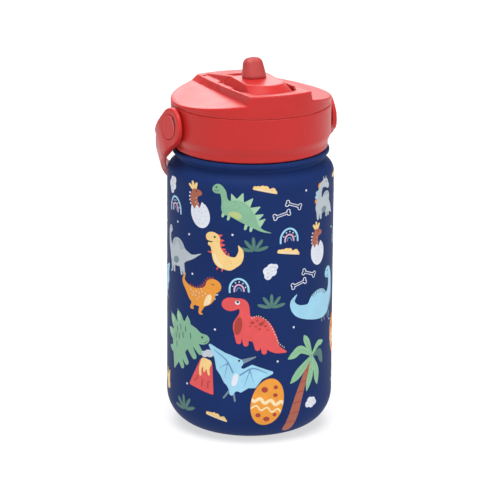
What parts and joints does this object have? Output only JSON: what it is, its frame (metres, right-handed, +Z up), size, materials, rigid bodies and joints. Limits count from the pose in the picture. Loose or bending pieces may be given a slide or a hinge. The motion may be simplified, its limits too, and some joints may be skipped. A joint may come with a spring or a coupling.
{
  "type": "kids water bottle",
  "caption": "Insulated steel kids' straw bottle with a screw lid, a spout that folds flat and a carry handle that swings over the lid.",
  "frame": {"origin": "centre of the flat base, on the bottle's axis", "axes": "+Z up along the bottle's axis, -Y towards the front lip of the lid, X along the handle's pivots"},
  "size_m": [0.0796, 0.0839, 0.1658],
  "materials": {
    "navy_powder_coat": "matte powder coat",
    "base_coat": "matte powder coat",
    "brushed_steel": "brushed",
    "base_disc_steel": "circular brushed",
    "solder_glass": "satin",
    "getter_metal": "sintered",
    "white_silicone": "matte",
    "red_plastic": "matte",
    "white_plastic": "satin",
    "clear_straw": "translucent",
    "pin_steel": "turned",
    "red_silicone": "matte"
  },
  "bodies": {
    "bottle": {"outer_shell": "navy_powder_coat", "outer_base": "base_coat", "inner_flask": "brushed_steel", "base_disc": "base_disc_steel", "vacuum_seal": "solder_glass", "getter_pellet": "getter_metal"},
    "gasket": {"lid_gasket": "white_silicone"},
    "lid": {"lid_collar": "red_plastic", "lid_cover": "red_plastic", "lid_liner": "white_plastic", "port_seal": "white_silicone", "straw_connector": "white_plastic", "straw": "clear_straw", "vent_valve": "white_silicone", "spout_pin_left": "pin_steel", "spout_pin_right": "pin_steel", "handle_pivot_left": "pin_steel", "handle_pivot_right": "pin_steel"},
    "spout": {"spout_rocker": "red_plastic", "mouthpiece": "red_silicone"},
    "handle": {"handle_loop": "red_plastic", "handle_cap_left": "red_plastic", "handle_cap_right": "red_plastic"}
  },
  "joints": [
    {"name": "lid_lift", "type": "slide", "parent": "bottle", "child": "gasket", "axis": [0, 0, 1], "range_m": [0, 0.0061]},
    {"name": "lid_turn", "type": "hinge", "parent": "gasket", "child": "lid", "pos_m": [0, 0, 0.13], "axis": [0, 0, 1], "range_deg": [0, 540]},
    {"name": "spout_fold", "type": "hinge", "parent": "lid", "child": "spout", "pos_m": [0, -0.0032, 0.1495], "axis": [-1, 0, 0], "range_deg": [0, 70]},
    {"name": "handle_swing", "type": "hinge", "parent": "lid", "child": "handle", "pos_m": [0, 0, 0.1378], "axis": [1, 0, 0], "range_deg": [0, 258]}
  ],
  "couplings": [
    {"joint": "lid_lift", "follows": "lid_turn", "m_per_rad": 0.00063662}
  ]
}
